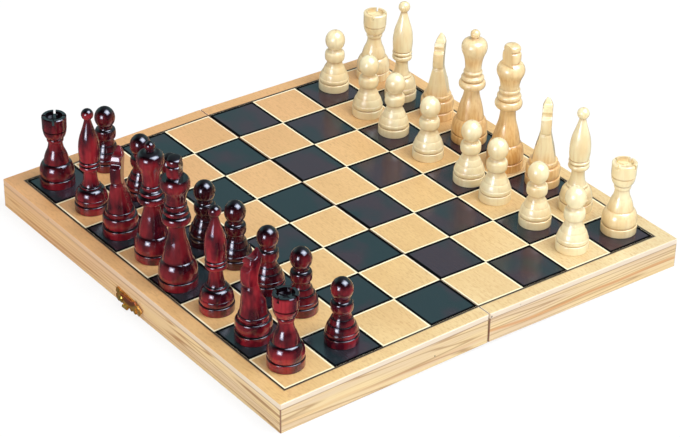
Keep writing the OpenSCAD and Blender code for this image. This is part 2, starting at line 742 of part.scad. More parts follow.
red_panel();
red_dark_squares();
red_field_line();
red_outer_wall();
red_inner_wall();
red_near_wall();
red_far_wall();
white_panel();
white_dark_squares();
white_field_line();
white_outer_wall();
white_inner_wall();
white_near_wall();
white_far_wall();
red_hinge_leaf_near();
red_hinge_leaf_far();
white_hinge_leaf_near();
white_hinge_leaf_far();
hinge_pins();
red_hinge_screws();
white_hinge_screws();
hook_plate();
hook_plate_nails();
hook_rivet();
hook_arm();
keeper_plate();
keeper_nails();
keeper_stud();
for (man = MEN)
    standing_man(man);
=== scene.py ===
# %% [markdown]
# # A folding chess box with its chessmen
# Two shallow trays hinged at their rims open into a playing board, and thirty-two chessmen turned
# on a lathe stand on it. The box comes from the CAD frame: flat boards, inlaid squares and brass
# fittings are already the right shape there, so they keep their meshes and get their finishes
# here. Turned wood needs a finer surface than the frame's, so the chessmen are made again, each in
# exactly the place of its CAD node.

# %% The frame
import json
import math
import bmesh
import bpy
import numpy as np
from mathutils import Matrix, Vector


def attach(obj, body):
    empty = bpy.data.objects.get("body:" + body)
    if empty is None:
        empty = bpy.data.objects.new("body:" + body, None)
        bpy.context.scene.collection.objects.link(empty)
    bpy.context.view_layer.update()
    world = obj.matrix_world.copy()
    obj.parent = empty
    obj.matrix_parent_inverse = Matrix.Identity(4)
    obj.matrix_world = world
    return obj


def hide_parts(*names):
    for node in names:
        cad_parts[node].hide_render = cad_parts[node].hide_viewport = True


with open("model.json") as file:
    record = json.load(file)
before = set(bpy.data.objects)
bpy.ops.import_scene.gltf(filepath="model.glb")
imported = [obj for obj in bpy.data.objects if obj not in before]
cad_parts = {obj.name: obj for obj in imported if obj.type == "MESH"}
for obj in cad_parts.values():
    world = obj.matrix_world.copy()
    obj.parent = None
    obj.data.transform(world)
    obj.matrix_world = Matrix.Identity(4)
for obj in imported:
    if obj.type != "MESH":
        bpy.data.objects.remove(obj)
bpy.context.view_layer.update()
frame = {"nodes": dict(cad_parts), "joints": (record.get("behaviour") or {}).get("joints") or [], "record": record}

MM = 0.001
NODES = frame["nodes"]
SLOT_OF = {row["node"]: row["material_slot"] for row in frame["record"]["subparts"]}
JOINTS = {joint["child"]: joint for joint in frame["joints"]}

# %% [markdown]
# The camera stands in front of the box's near corner, 1.6 m from the fold, and looks down by 31
# degrees. Its long lens keeps the board's edges nearly parallel. Its place is given by where its
# own right, down and forward directions point.

# %% The camera
RIGHT = Vector((0.7992813, -0.60068509, 0.01807814))
DOWN = Vector((-0.30153722, -0.42688854, -0.85254999))
FORWARD = Vector((0.51983142, 0.67597603, -0.52233294))
STAND = Vector((-0.818967, -1.070040, 0.837739))

camera_data = bpy.data.cameras.new("studio_camera")
camera_data.sensor_width = 36
camera_data.lens = 133.03
camera_data.clip_end = 50
camera = bpy.data.objects.new("studio_camera", camera_data)
bpy.context.scene.collection.objects.link(camera)
turn = Matrix((RIGHT, -DOWN, -FORWARD)).transposed()
camera.matrix_world = Matrix.Translation(STAND) @ turn.to_4x4()
bpy.context.scene.camera = camera
print("camera is", round(STAND.length, 2), "m from the middle of the fold")

# %% [markdown]
# ## Helpers for materials
# Paint charts and screens name colours in sRGB, but light adds up in linear numbers, so one
# function turns a hex colour into what a shader needs. Another fills the inputs of a node, and a
# third adds a node with its settings and its links in one line, which keeps each material short
# enough to read as a recipe.

# %% Colours and nodes
# This makes a Mix node mix two colours instead of two numbers.
RGBA = {"data_type": "RGBA"}


def colour(hex_code):
    parts = [int(hex_code[i:i + 2], 16) / 255 for i in (1, 3, 5)]
    return (*[c / 12.92 if c <= 0.04045 else ((c + 0.055) / 1.055) ** 2.4 for c in parts], 1)


def fill(node, *values, **named):
    """Fills a node's inputs in their order, or by name with __ for a space.
    A value is a socket to link from, a hex colour or a number."""
    in_use = [socket for socket in node.inputs if socket.enabled]
    by_name = [(node.inputs[name.replace("__", " ")], value) for name, value in named.items()]
    for socket, value in [*zip(in_use, values), *by_name]:
        if isinstance(value, bpy.types.NodeSocket):
            node.id_data.links.new(value, socket)
        else:
            socket.default_value = colour(value) if str(value).startswith("#") else value


def add(tree, kind, *values, out=None, stops=(), **named):
    """Adds one node and gives its first output, or the one that out names. A name in small
    letters is a setting, and the others are inputs. Stops are the places and colours of a ramp."""
    made = tree.nodes.new(kind if "Node" in kind else "ShaderNode" + kind)
    for name in [name for name in named if name[0].islower()]:
        setattr(made, name, named.pop(name))
    fill(made, *values, **named)
    elements = made.color_ramp.elements if stops else []
    while len(elements) < len(stops):
        elements.new(0.5)
    for element, (place, hex_code) in zip(elements, stops):
        element.position, element.color = place, colour(hex_code)
    return made.outputs[out] if out else next((s for s in made.outputs if s.enabled), None)


def new_material(name):
    material = bpy.data.materials.new(name)
    material.use_nodes = True
    tree = material.node_tree
    return material, tree, tree.nodes["Principled BSDF"]


def stretched(tree, scale_mm, turned=(0, 0, 0)):
    """Object coordinates in which one unit is so many millimetres along X, Y and Z."""
    place = add(tree, "TexCoord", out="Object")
    return add(tree, "Mapping", place, Rotation=turned, Scale=[1000 / v for v in scale_mm])


print("helpers ready; mid grey #808080 is", round(colour("#808080")[0], 3), "in linear light")

# %% [markdown]
# ## Red lacquer
# The dark side's chessmen are hardwood, stained dark red and dipped in gloss lacquer. The grain
# runs up each man, so a surface that faces up shows the ends of the fibres. Every surface that
# faces up is painted darker, to almost black: partly end grain, which drinks more stain, and partly
# painted shade on the tops. The sides stay a warm red with darker streaks, and painted shade lies in
# the grooves. How far each point faces up is kept in the mesh, where it changes softly from one
# ring to the next. The lacquer is a clear coat, sharp enough to mirror the lamps. No two men took
# up the same amount of stain, so each carries its own share of a deeper tone. The pores of such
# wood are a tenth of a millimetre wide and wouldn't show, so the streaks are drawn 1.6 mm wide.

# %% Red lacquer
def red_lacquer():
    material, tree, shader = new_material("red_stained_hardwood_under_gloss_lacquer")
    streak = add(tree, "TexNoise", stretched(tree, (1.6, 1.6, 22)), 1, 3, 0.6)
    cloud = add(tree, "TexNoise", stretched(tree, (8, 8, 15)), 1, 2)
    end_grain_and_top_shade, groove, deep_stain = (add(tree, "Attribute", attribute_name=name, out="Fac")
                                     for name in ("end_grain_and_top_shade", "groove", "deep_stain"))
    cloudy = add(tree, "MapRange", cloud, 0.38, 0.62)
    streaky = add(tree, "MapRange", streak, 0.42, 0.7, 0, 0.35)
    side = add(tree, "Mix", cloudy, "#470818", "#9A222C", **RGBA)
    side = add(tree, "Mix", streaky, side, "#36040C", **RGBA)
    side = add(tree, "Mix", deep_stain, side, "#1E0309", **RGBA)
    # Grooves are painted darker, as painted shade.
    painted_groove_shade = add(tree, "Math", groove, 0.4, operation="MULTIPLY")
    # Faces that look up are painted darker, to almost black: partly end grain that drinks more stain, partly
    # painted shade on the tops.
    stained_and_shaded_top = add(tree, "MapRange", end_grain_and_top_shade, 0, 0.7)
    dark = add(tree, "Math", stained_and_shaded_top, painted_groove_shade, operation="MAXIMUM")
    # A flat top is all end grain. It soaks up the lacquer and stays duller than the rest.
    flat_top = add(tree, "MapRange", end_grain_and_top_shade, 0.8, 0.97)
    # Lacquer dries in ripples about 3 mm long, which bend the edges of its highlights.
    ripple = add(tree, "TexNoise", stretched(tree, (3, 3, 3)), 1, 1)
    # The coat does the mirroring, so the wood under it reflects little by itself.
    fill(shader, Base__Color=add(tree, "Mix", dark, side, "#0C0206", **RGBA),
         Roughness=add(tree, "MapRange", flat_top, 0, 1, 0.22, 0.55), IOR=1.5,
         Specular__IOR__Level=0.15, Coat__Roughness=0.045, Coat__IOR=1.52,
         Coat__Weight=add(tree, "MapRange", flat_top, 0, 1, 1, 0.1),
         Coat__Normal=add(tree, "Bump", Height=ripple, Distance=0.02 * MM))
    return material


RED_LACQUER = red_lacquer()
print("made", RED_LACQUER.name)

# %% [markdown]
# ## Natural varnish
# The light side's men are pale hardwood under clear varnish. The wood is creamy, and the grooves
# are painted a darker honey brown, as painted shade. Kings, queens and knights have a honey tone
# that is partly browner wood and partly painted warm light bounced up from the board, so it shows
# most in their lower half; the mesh keeps how much of that honey tone each point has. As on the red
# men, the streaks are drawn wider than real pores, so that they show.

# %% Natural varnish
def natural_varnish():
    material, tree, shader = new_material("pale_hardwood_under_clear_varnish")
    streak = add(tree, "TexNoise", stretched(tree, (1.4, 1.4, 18)), 1, 3, 0.55)
    cloud = add(tree, "TexNoise", stretched(tree, (10, 10, 22)), 1, 2)
    honeyed, groove = (add(tree, "Attribute", attribute_name=name, out="Fac")
                       for name in ("honey", "groove"))
    cloudy = add(tree, "MapRange", cloud, 0.38, 0.62)
    streaky = add(tree, "MapRange", streak, 0.5, 0.75, 0, 0.4)
    side = add(tree, "Mix", cloudy, "#F8EBBF", "#F2DAA6", **RGBA)
    side = add(tree, "Mix", streaky, side, "#E6C48A", **RGBA)
    honey = add(tree, "Mix", add(tree, "MapRange", streak, 0.4, 0.65), "#EEC27C", "#DBA055", **RGBA)
    # The honey tone is partly browner wood and partly painted warm light bounced up from the board.
    side = add(tree, "Mix", honeyed, side, honey, **RGBA)
    # The grooves are painted a darker honey brown, as painted shade.
    pale_groove_shade = add(tree, "Math", groove, 0.85, operation="MULTIPLY")
    fill(shader, Base__Color=add(tree, "Mix", pale_groove_shade, side, "#B57A38", **RGBA), Roughness=0.35, IOR=1.5,
         Coat__Weight=0.8, Coat__Roughness=0.08, Coat__IOR=1.5)
    return material


NATURAL_VARNISH = natural_varnish()
print("made", NATURAL_VARNISH.name)

# %% [markdown]
# ## The board's woods
# Panel and veneer are varnished satin, with their grain along the fold. The birch is a light honey
# colour with short flecks in it, and has aged to orange towards the far red corner. Along its sawn
# edges the plies show, paler than the face. The veneer is stained almost black, with patches
# of purple brown, and its smooth varnish mirrors whatever is behind it: the pale room where
# nothing stands, and the dark men close by. A knife cut the squares out, and stain gathered along
# the cuts: so each dark square has a matt black rim, and varnish stands pale along the edges of
# the light ones. The line is a thin strip of dark brown wood, open-pored and nearly matt, and its
# stain has bled a little way into the birch outside it. The distance to the nearest edge comes
# from folding the coordinates at every square's width, in the half's frame. The grain of such
# woods is too fine to show from here, so grain and flecks are drawn 0.7 to 0.9 mm wide.

# %% Birch, dark veneer and the line
LEAN = math.asin(JOINTS["white_king"]["axis"][0])
SQUARE = 35.0
FIELD = 4 * SQUARE
PANEL_UNDER, PANEL_TOP = 16.4, 20  # the plywood's two faces, in the half's own millimetres
BOARD_END = max(abs(v.co.y) for v in NODES["red_panel"].data.vertices) / MM
LESS_AGED = (0.35, -0.65, 0)  # the way in which the birch and pine get less aged


def half_place(tree, side):
    """Millimetres in the half's own frame, which leans on its hinge knuckles."""
    return stretched(tree, (1, 1, 1), (0, -side * LEAN, 0))


def square_edges(tree, side):
    """The distance to the nearest edge of a square, and whether the point lies within the field."""
    parts = add(tree, "SeparateXYZ", half_place(tree, side)).node.outputs
    folded = [add(tree, "Math", parts[axis], SQUARE / 2, operation="PINGPONG") for axis in "XY"]
    reach = [add(tree, "Math", parts[axis], operation="ABSOLUTE") for axis in "XY"]
    farther = add(tree, "Math", *reach, operation="MAXIMUM")
    inside = add(tree, "Math", farther, FIELD, operation="LESS_THAN")
    return add(tree, "Math", *folded, operation="MINIMUM"), inside


def aging(tree, side):
    """How little a place has darkened: 0 at the far red corner, 1 at the near white one."""
    along = add(tree, "VectorMath", half_place(tree, side), LESS_AGED, operation="DOT_PRODUCT")
    return add(tree, "MapRange", along, -BOARD_END, BOARD_END)


def marks_on(tree, body, side, marks, ink):
    """Puts small round marks on a surface: each is a place in the half's frame and a radius."""
    place = half_place(tree, side)
    for spot, radius in marks:
        away = add(tree, "VectorMath", place, spot, operation="DISTANCE")
        inked = add(tree, "MapRange", away, radius * 0.6, radius, 0.85, 0)
        body = add(tree, "Mix", inked, body, ink, **RGBA)
    return body


PANEL_MARKS = {-1: [((-153.5, 86.1, 20.0), 0.8), ((-151.0, 96.0, 19.2), 0.6)],
               1: [((23.6, -150.6, 20.0), 0.6), ((1.4, -151.0, 19.6), 0.8)]}


def birch_panel(side):
    material, tree, shader = new_material("varnished_birch_plywood_" + ("red" if side < 0 else "white"))
    grain = add(tree, "TexNoise", stretched(tree, (0.9, 30, 0.9)), 1, 3, 0.6)
    fleck = add(tree, "TexNoise", stretched(tree, (0.7, 3.0, 0.7)), 1, 1)
    cloud = add(tree, "TexNoise", stretched(tree, (30, 70, 30)), 1, 2)
    body = add(tree, "ValToRGB", aging(tree, side),
               stops=((0.0, "#E2A66C"), (0.3, "#E3B075"), (0.65, "#E4BF7E"), (1.0, "#E0D2A4")))
    body = add(tree, "Mix", add(tree, "MapRange", cloud, 0.35, 0.65, 0, 0.35), body, "#CDA063", **RGBA)
    body = add(tree, "Mix", add(tree, "MapRange", grain, 0.45, 0.75, 0, 0.4), body, "#CA9A5E", **RGBA)
    body = add(tree, "Mix", add(tree, "MapRange", fleck, 0.52, 0.68, 0, 0.42), body, "#BD8850", **RGBA)
    distance, inside = square_edges(tree, side)
    beside_cut = add(tree, "MapRange", distance, 0.85, 1.3, 0.9, 0)
    pale = add(tree, "Math", beside_cut, inside, operation="MULTIPLY")
    body = add(tree, "Mix", pale, body, "#FFF4CE", **RGBA)
    # Stain has bled out of the line, into the birch just outside the field.
    parts = add(tree, "SeparateXYZ", half_place(tree, side)).node.outputs
    out_x, out_y = (add(tree, "Math", parts[axis], operation="ABSOLUTE") for axis in "XY")
    reach = add(tree, "Math", out_x, out_y, operation="MAXIMUM")
    bled = add(tree, "Math", add(tree, "MapRange", reach, FIELD + 1.3, FIELD + 1.8, 0.8, 0),
               add(tree, "Math", reach, FIELD, operation="GREATER_THAN"), operation="MULTIPLY")
    body = add(tree, "Mix", bled, body, "#3A2414", **RGBA)
    # The sawn edges of the sheet show pale plies round a darker core.
    sawn = add(tree, "Math", add(tree, "MapRange", reach, BOARD_END - 0.3, BOARD_END - 0.15),
               add(tree, "MapRange", out_x, 0.3, 0.45, 1, 0), operation="MAXIMUM")
    plies = add(tree, "ValToRGB", add(tree, "MapRange", parts["Z"], PANEL_UNDER, PANEL_TOP),
                stops=((0.2, "#D9C4AA"), (0.35, "#C2A688"), (0.6, "#CEB496"), (0.72, "#E4D2BA")))
    aged = add(tree, "MapRange", aging(tree, side), 0.1, 0.6, 0.7, 0)
    plies = add(tree, "Mix", aged, plies, "#D8A06A", **RGBA)
    body = add(tree, "Mix", sawn, body, plies, **RGBA)
    fill(shader, Base__Color=marks_on(tree, body, side, PANEL_MARKS[side], "#5A3A28"), Roughness=0.42,
         Coat__Weight=0.25, Coat__Roughness=0.25,
         Normal=add(tree, "Bump", Height=grain, Distance=0.02 * MM))
    return material


def dark_veneer(side):
    material, tree, shader = new_material("black_stained_veneer_" + ("red" if side < 0 else "white"))
    grain = add(tree, "TexNoise", stretched(tree, (0.7, 24, 0.7)), 1, 3, 0.6)
    cloud = add(tree, "TexNoise", stretched(tree, (24, 34, 24)), 1, 2)
    purple_from = 0.57 if side < 0 else 0.45
    # Part of its blue-green tint is a painted reflection of the studio's pale back wall, laid into its colour.
    body = add(tree, "ValToRGB", cloud,
               stops=((purple_from - 0.08, "#1E2A2E"), (purple_from + 0.1, "#38252F")))
    body = add(tree, "Mix", add(tree, "MapRange", grain, 0.5, 0.8, 0, 0.35), body, "#26343A", **RGBA)
    distance, _ = square_edges(tree, side)
    rim = add(tree, "MapRange", distance, 1.6, 2.1, 1, 0)
    fill(shader, Base__Color=add(tree, "Mix", rim, body, "#0C0D0E", **RGBA), Roughness=0.18, IOR=1.5,
         Specular__IOR__Level=add(tree, "MapRange", rim, 0, 1, 0.5, 0),
         Normal=add(tree, "Bump", Height=grain, Distance=0.008 * MM))
    return material


def line_veneer():
    material, tree, shader = new_material("dark_brown_inlaid_line")
    grain = add(tree, "TexNoise", stretched(tree, (0.7, 12, 0.7)), 1, 2)
    body = add(tree, "ValToRGB", grain, stops=((0.3, "#22140C"), (0.7, "#140C0A")))
    fill(shader, Base__Color=body, Roughness=0.6, Specular__IOR__Level=0.15)
    return material


print("board woods ready; each half leans by", round(math.degrees(LEAN), 3), "degrees")

# %% [markdown]
# The walls are planed pine, cream with a greyer tinge where the wood is young. Its late wood
# makes thin yellow-brown lines along each board: a slow noise, drawn out along the wall, is folded
# back and forth, and each fold leaves a line. One bold streak of resin runs along some boards.
# Thin shadow lines stay at the joints: under the panel, at the mitres and at the fold.

# %% Pine walls
WALL_TOP = max(v.co.z * math.cos(LEAN) - v.co.x * math.sin(LEAN)
               for v in NODES["red_near_wall"].data.vertices) / MM
WALL_END = max(abs(v.co.y) for v in NODES["red_outer_wall"].data.vertices) / MM
# For each wall: how many lines, how strong they are, and how strong its resin streak is.
WALL_LOOKS = {"red_outer": (9, 0.95, 0.0), "red_near": (8, 0.65, 0.2), "white_near": (7, 0.7, 0.7)}
PLAIN_LOOK = (7, 0.6, 0.4)
WALL_MARKS = {"red_near": [((-40.5, -151.0, 9.2), 0.6)], "red_outer": [((-151.0, 98.4, 9.7), 0.6)]}


def pine_wall(name, along, side, shift):
    material, tree, shader = new_material("planed_pine_" + name)
    lines, line_strength, resin = WALL_LOOKS.get(name, PLAIN_LOOK)
    parts = add(tree, "SeparateXYZ", half_place(tree, side)).node.outputs
    height = parts["Z"]

    def drawn_out(length, width):
        place = stretched(tree, (length, width, width) if along == "x" else (width, length, width))
        return add(tree, "VectorMath", place, (shift, shift, shift), operation="ADD")

    slow = add(tree, "TexNoise", drawn_out(240, 8), 1, 1, 0.4)
    counted = add(tree, "Math", slow, lines, operation="MULTIPLY")
    late_wood = add(tree, "MapRange", add(tree, "Math", counted, 0.5, operation="PINGPONG"), 0.34, 0.48)
    drawn = add(tree, "Math", late_wood, line_strength, operation="MULTIPLY")
    # The fine grain is drawn 0.7 mm wide, wider than that of planed pine, so that it shows.
    fine = add(tree, "TexNoise", drawn_out(60, 0.7), 1, 2)
    tinge = add(tree, "TexNoise", drawn_out(80, 6), 1, 1)
    aged = add(tree, "MapRange", aging(tree, side), 0.1, 0.6, 0.5, 0)
    body = add(tree, "Mix", add(tree, "MapRange", tinge, 0.4, 0.65), "#E7CD99", "#DDC29B", **RGBA)
    body = add(tree, "Mix", drawn, body, "#A27240", **RGBA)
    body = add(tree, "Mix", add(tree, "MapRange", fine, 0.5, 0.75, 0, 0.45), body, "#B98C58", **RGBA)
    body = add(tree, "Mix", aged, body, "#D8985A", **RGBA)
    # The resin streak wanders about the middle of the wall's height.
    wander = add(tree, "TexNoise", drawn_out(70, 60), 1, 1)
    middle = add(tree, "MapRange", wander, 0.3, 0.7, 6.5, 11.5)
    above = add(tree, "Math", height, middle, operation="SUBTRACT")
    away = add(tree, "Math", above, operation="ABSOLUTE")
    body = add(tree, "Mix", add(tree, "MapRange", away, 0.3, 1.5, resin, 0), body, "#CF8A45", **RGBA)
    under_panel = add(tree, "MapRange", height, WALL_TOP - 0.7, WALL_TOP - 0.2, 0, 0.75)
    body = add(tree, "Mix", under_panel, body, "#936C5E", **RGBA)
    end = add(tree, "Math", parts["X"] if along == "x" else parts["Y"], operation="ABSOLUTE")
    joint = add(tree, "MapRange", end, WALL_END - 0.6, WALL_END - 0.3, 0, 0.8)
    if along == "x":
        joint = add(tree, "Math", joint, add(tree, "MapRange", end, 0.5, 1.0, 0.9, 0), operation="MAXIMUM")
    body = add(tree, "Mix", joint, body, "#7A4A36", **RGBA)
    body = marks_on(tree, body, side, WALL_MARKS.get(name, []), "#4A3228")
    fill(shader, Base__Color=body, Roughness=0.5, Coat__Weight=0.15, Coat__Roughness=0.3,
         Normal=add(tree, "Bump", Height=fine, Distance=0.02 * MM))
    return material


print("the walls end", round(WALL_TOP, 2), "mm up, where the panel starts")

# %% [markdown]
# ## Brass
# Hook, plates and hinge leaves are stamped from sheet brass. Sheet brass goes dull and brown in
# patches, and the domed heads of nails and rivets stay brighter. Along the middle of the hook's arm
# a rose-brown reflection is painted into its colour, and its two ends stay golden. Rolling leaves
# scratches thinner than a hair, which are drawn a quarter of a millimetre wide to show.

# %% Brass
def brass(name, clean, tarnished, roughness, painted_reflection_middle=None):
    material, tree, shader = new_material(name)
    patch = add(tree, "TexNoise", stretched(tree, (2.2, 2.2, 2.2)), 1, 3, 0.6)
    tarnish_and_reflection = add(tree, "MapRange", patch, 0.4, 0.65)
    if painted_reflection_middle:
        # On the hook's arm, a rose-brown reflection is painted along its middle.
        middle, reach = painted_reflection_middle
        away = add(tree, "VectorMath", stretched(tree, (1, 1, 1)), middle, operation="DISTANCE")
        faint = add(tree, "Math", tarnish_and_reflection, 0.3, operation="MULTIPLY")
        tarnish_and_reflection = add(tree, "Math", add(tree, "MapRange", away, reach - 1.5, reach, 1, 0), faint,
                      operation="MAXIMUM")
    scratch = add(tree, "TexNoise", stretched(tree, (0.25, 3, 0.25)), 1, 1)
    fill(shader, Base__Color=add(tree, "Mix", tarnish_and_reflection, clean, tarnished, **RGBA), Metallic=1.0,
         Roughness=add(tree, "MapRange", patch, 0.3, 0.7, roughness, roughness + 0.15),
         Normal=add(tree, "Bump", Height=scratch, Distance=0.01 * MM))
    return material


FINISHES = {
    "birch_panel": {side: birch_panel(side) for side in (-1, 1)},
    "dark_veneer": {side: dark_veneer(side) for side in (-1, 1)},
    "line_veneer": line_veneer(),
    "stamped_brass": brass("stamped_brass_lightly_tarnished", "#F8C064", "#CE8A46", 0.36),
    "brass_pins": brass("bright_brass_heads", "#F6D06C", "#DBA843", 0.15),
    "red_lacquer": RED_LACQUER,
    "natural_varnish": NATURAL_VARNISH,
}
# The arm's two last numbers are the middle of its painted rose-brown reflection and how far that reaches.
ARM_BRASS = brass("hook_arm_brass_with_a_painted_reflection", "#FFCE70", "#B97350", 0.34,
                  ((-154.2, 3.0, 17.0), 13.2))
RUNS_ALONG = {"outer": "y", "inner": "y", "near": "x", "far": "x"}
SEED_STEP = 3.7  # moves each wall on in the noise, so that no two boards share their grain
for index, (name, obj) in enumerate(sorted(NODES.items())):
    slot = SLOT_OF[name]
    half, place = name.split("_")[:2]
    side = -1 if half == "red" else 1
    if slot == "pine_wall":
        finish = pine_wall(half + "_" + place, RUNS_ALONG[place], side, SEED_STEP * index)
    elif slot in ("birch_panel", "dark_veneer"):
        finish = FINISHES[slot][side]
    else:
        finish = ARM_BRASS if name == "hook_arm" else FINISHES[slot]
    obj.data.materials.clear()
    obj.data.materials.append(finish)
print("finishes on", len(NODES), "CAD nodes")

# %% [markdown]
# ## Turned outlines
# A lathe makes one shape from one outline: the distance from the axis at each height. The outlines
# are built from the turner's own moves: a bead, a sweeping hollow, a ball, and the disc of the
# foot. Each point is a share of the man's base radius and of its height over the foot, as in the
# part's source, but with more steps, so that no facet shows.

# %% The turner's moves
FOOT = 5.6
CROWN_DEPTH = 2.6
STEPS = 12


def bead(radius, swell, z0, z1, flat=1.0):
    """A ring that bulges to the radius. A lower number than 1 makes its face flatter, like a barrel."""
    angles = [math.pi * i / STEPS - math.pi / 2 for i in range(STEPS + 1)]
    middle, half = (z0 + z1) / 2, (z1 - z0) / 2
    return [(radius - swell + swell * max(math.cos(a), 0) ** flat, middle + half * math.sin(a))
            for a in angles]


def sweep(start, bend, end, steps=STEPS):
    ts = [i / steps for i in range(steps + 1)]
    return [tuple((1 - t) ** 2 * p + 2 * t * (1 - t) * q + t * t * w
                  for p, q, w in zip(start, bend, end)) for t in ts]


def ball(radius, top, neck, tall=1.0):
    low = -math.acos(neck / radius)
    angles = [low + (math.pi / 2 - low) * i / (2 * STEPS) for i in range(2 * STEPS + 1)]
    return [(radius * math.cos(a), top + radius * tall * (math.sin(a) - 1)) for a in angles]


def foot(r):
    return ([(0, 0), (r - 0.5, 0)] + sweep((r - 0.5, 0), (r, 0), (r, 0.6), 4)
            + sweep((r, FOOT - 0.7), (r, FOOT - 0.1), (r - 0.6, FOOT), 4)
            + [(r - 0.9, FOOT), (r - 0.9, FOOT + 0.5)])


def belly(r, top_r, top_z):
    """Over the foot of a rook, queen or king: round below, and drawn in to top_r above."""
    low, high = FOOT + 2.8, FOOT + (top_z - FOOT) * 0.75
    return (sweep((r - 0.7, FOOT + 0.5), (r * 0.985, FOOT + 0.8), (r * 0.985, low), 6)
            + sweep((r * 0.985, low), (r * 0.98, high), (top_r, top_z)))


def shares(r, h):
    """Turns a share of the base radius and of the height over the foot into a point."""
    return lambda share_r, share_h: (r * share_r, FOOT + (h - FOOT) * share_h)


print("a bead has", len(bead(1, 0.5, 0, 1)), "points")

# %% [markdown]
# The six outlines follow. A pawn is a ball on a collar on a bell. The rook carries a hollow crown,
# the bishop a long drop, queen and king a crown over a double collar. The knight's base is turned
# too, and its head is carved afterwards.

# %% The outlines
def pawn(r, h):
    at = shares(r, h)
    return (foot(r) + bead(r * 0.975, 0.4, FOOT + 0.5, at(0, 0.085)[1])
            + sweep(at(0.93, 0.09), at(0.88, 0.16), at(0.78, 0.2), 6)
            + sweep(at(0.755, 0.2), at(0.68, 0.27), at(0.6, 0.305), 6)
            + sweep(at(0.575, 0.305), at(0.5, 0.35), at(0.49, 0.405), 8)
            + bead(r * 0.65, r * 0.13, at(0, 0.418)[1], at(0, 0.59)[1], 0.5)
            + sweep(at(0.47, 0.597), at(0.4, 0.62), at(0.42, 0.652), 6)
            + ball(r * 0.645, h, r * 0.42, 1.12))


def rook(r, h):
    at, rim = shares(r, h), r * 0.7
    return (foot(r) + belly(r, r * 0.77, at(0, 0.235)[1])
            + sweep(at(0.72, 0.24), at(0.68, 0.345), at(0.49, 0.44))
            + sweep(at(0.49, 0.44), at(0.41, 0.5), at(0.4, 0.575), 8)
            + bead(r * 0.475, 0.5, at(0, 0.58)[1], at(0, 0.635)[1])
            + sweep(at(0.45, 0.64), at(0.62, 0.66), at(0.67, 0.77))
            + [at(0.63, 0.775), at(0.63, 0.79)]
            + sweep(at(0.685, 0.795), at(0.69, 0.9), (rim, h - 0.6), 6)
            + [(rim - 0.5, h), (rim * 0.7, h), (rim * 0.66, h - CROWN_DEPTH), (0, h - CROWN_DEPTH)])


def bishop(r, h):
    at = shares(r, h)
    return (foot(r) + bead(r * 0.965, 0.5, FOOT + 0.5, at(0, 0.06)[1])
            + sweep(at(0.93, 0.06), at(0.88, 0.14), at(0.63, 0.158))
            + bead(r * 0.62, 0.5, at(0, 0.16)[1], at(0, 0.18)[1])
            + sweep(at(0.52, 0.185), at(0.38, 0.24), at(0.385, 0.345))
            + bead(r * 0.62, r * 0.12, at(0, 0.355)[1], at(0, 0.41)[1])
            + bead(r * 0.615, r * 0.08, at(0, 0.415)[1], at(0, 0.45)[1]) + [at(0.54, 0.455)]
            + sweep(at(0.58, 0.46), at(0.7, 0.61), at(0.47, 0.73))
            + sweep(at(0.47, 0.73), at(0.3, 0.81), at(0.2, 0.88))
            + ball(r * 0.355, h, r * 0.19))


def queen(r, h):
    at = shares(r, h)
    return (foot(r) + belly(r, r * 0.8, at(0, 0.147)[1])
            + sweep(at(0.76, 0.152), at(0.68, 0.25), at(0.52, 0.33))
            + sweep(at(0.52, 0.33), at(0.42, 0.38), at(0.41, 0.44), 8)
            + bead(r * 0.74, r * 0.16, at(0, 0.445)[1], at(0, 0.515)[1])
            + bead(r * 0.63, r * 0.1, at(0, 0.52)[1], at(0, 0.56)[1]) + [at(0.47, 0.568)]
            + bead(r * 0.52, r * 0.05, at(0, 0.585)[1], at(0, 0.61)[1])
            + sweep(at(0.45, 0.615), at(0.44, 0.72), at(0.66, 0.79))
            + sweep(at(0.66, 0.79), at(0.74, 0.83), at(0.7, 0.86), 6)
            + sweep(at(0.7, 0.86), at(0.62, 0.905), at(0.36, 0.91), 8) + [at(0.24, 0.915)]
            + ball(r * 0.265, h, r * 0.19))


def king(r, h):
    at = shares(r, h)
    return (foot(r) + belly(r, r * 0.8, at(0, 0.144)[1])
            + sweep(at(0.76, 0.149), at(0.67, 0.24), at(0.5, 0.315))
            + sweep(at(0.5, 0.315), at(0.41, 0.365), at(0.405, 0.448), 8)
            + bead(r * 0.73, r * 0.16, at(0, 0.454)[1], at(0, 0.526)[1])
            + bead(r * 0.64, r * 0.1, at(0, 0.531)[1], at(0, 0.572)[1]) + [at(0.5, 0.581)]
            + bead(r * 0.56, r * 0.05, at(0, 0.596)[1], at(0, 0.62)[1])
            + sweep(at(0.5, 0.626), at(0.5, 0.685), at(0.69, 0.74))
            + sweep(at(0.69, 0.74), at(0.79, 0.772), at(0.71, 0.806), 6)
            + sweep(at(0.71, 0.806), at(0.62, 0.838), at(0.44, 0.848), 8)
            + bead(r * 0.5, r * 0.05, at(0, 0.855)[1], at(0, 0.935)[1]) + [at(0.4, 0.94), at(0.4, 0.948)]
            + sweep(at(0.44, 0.953), at(0.46, 0.985), at(0.3, 0.993), 8)
            + sweep(at(0.3, 0.993), at(0.15, 1), (0, h), 6))


def knight_base(r, h):
    at = shares(r, h)
    top = at(0, 0.215)[1]
    return (foot(r) + bead(r * 0.985, 0.9, FOOT + 0.5, at(0, 0.15)[1])
            + bead(r * 0.82, 0.6, at(0, 0.155)[1], top) + [(0, top)])


OUTLINES = {"pawn": pawn, "rook": rook, "bishop": bishop, "queen": queen, "king": king,
            "knight": knight_base}
print({kind: len(outline(11, 60)) for kind, outline in OUTLINES.items()}, "points")

# %% [markdown]
# ## The lathe
# Turning is a rule, so Geometry Nodes do it. The outline arrives as a row of points. A grid with
# one column for each step round the axis is bent over it: the point at row i of column j takes the
# radius and height of outline point i, and the angle of column j. Merging by distance closes the
# seam, where the last column meets the first, and the poles, where the radius is nought. Each
# point also keeps how deep it lies in a groove, which the finishes use to paint shade into it.

# %% The lathe as a node tree
SEGMENTS = 80
MERGE_WITHIN = 1e-4  # millimetres: far less than any step of an outline


